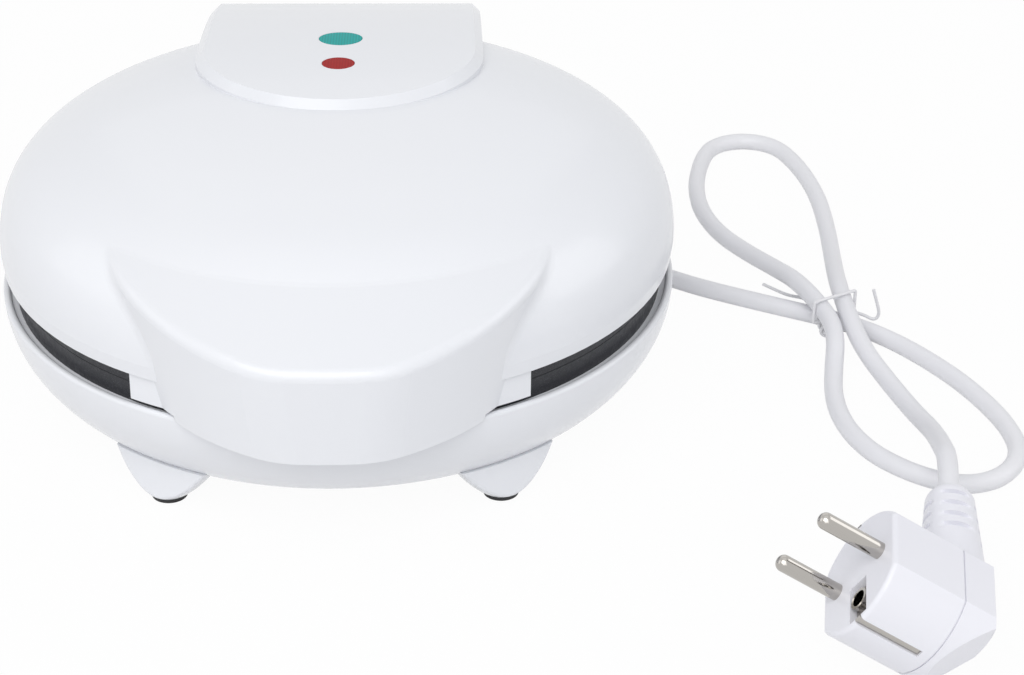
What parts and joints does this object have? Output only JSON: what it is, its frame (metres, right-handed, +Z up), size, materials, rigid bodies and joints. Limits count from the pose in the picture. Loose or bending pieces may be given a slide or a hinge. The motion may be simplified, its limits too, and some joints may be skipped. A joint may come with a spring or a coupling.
{
  "type": "mini donut maker",
  "caption": "Countertop ring-cake maker with a domed hinged lid, front handle, dark non-stick plates with ring cavities, two indicator lights, tapered feet, tied mains cord and angled plug.",
  "frame": {"origin": "on the table, under the middle of the body's outline", "axes": "+Z up, -Y towards the user and the handle, +X to the user's right"},
  "size_m": [0.3172, 0.3872, 0.0984],
  "materials": {
    "white_shell": "moulded, glossy white",
    "white_inner": "moulded, plain white",
    "non_stick": "cast aluminium alloy with dark speckled non-stick coat",
    "steel": "zinc-plated",
    "heater_steel": "drawn tube, heat-tinted",
    "reflector": "pressed sheet",
    "switch_body": "moulded phenolic",
    "ceramic": "ceramic terminal body",
    "wire_jacket": "woven glass sleeve",
    "board": "phenolic paper board",
    "lamp_glass": "clear",
    "red_lens": "translucent, smooth",
    "green_lens": "translucent, finely ribbed",
    "black_rubber": "moulded, matt",
    "cord_white": "soft extruded jacket",
    "tie_white": "plastic over steel wire",
    "plug_white": "moulded soft plastic",
    "plated_brass": "nickel-plated"
  },
  "bodies": {
    "base": {"base_shell": "white_shell", "lower_baking_plate": "non_stick", "lower_heater": "heater_steel", "lower_heat_shield": "reflector", "lower_thermostat": "switch_body", "lower_plate_screws": "steel", "cord_box_cover": "white_inner", "cord_box_screws": "steel", "hinge_pin_left": "steel", "hinge_pin_right": "steel", "cord_clamp": "white_inner", "cord_clamp_screws": "steel", "terminal_block": "ceramic", "lower_wiring": "wire_jacket", "strain_relief": "cord_white", "cord_inner": "cord_white", "cord": "cord_white", "twist_tie": "tie_white", "plug_body": "plug_white", "plug_boot": "plug_white", "plug_pin_near": "plated_brass", "plug_pin_far": "plated_brass", "plug_earth_contacts": "plated_brass", "foot_front_left": "white_shell", "foot_pad_front_left": "black_rubber", "foot_front_right": "white_shell", "foot_pad_front_right": "black_rubber", "foot_rear_left": "white_shell", "foot_pad_rear_left": "black_rubber", "foot_rear_right": "white_shell", "foot_pad_rear_right": "black_rubber"},
    "lid": {"upper_shell": "white_shell", "handle_liner": "white_inner", "handle_liner_screws": "steel", "upper_baking_plate": "non_stick", "upper_heater": "heater_steel", "upper_heat_shield": "reflector", "upper_thermostat": "switch_body", "thermal_fuse": "steel", "red_lens": "red_lens", "green_lens": "green_lens", "lamp_board": "board", "indicator_lamps": "lamp_glass", "upper_wiring": "wire_jacket", "upper_plate_screws": "steel"}
  },
  "joints": [
    {"name": "lid", "type": "hinge", "parent": "base", "child": "lid", "pos_m": [0, 0.111, 0.047], "axis": [-1, 0, 0], "range_deg": [0, 100]}
  ]
}
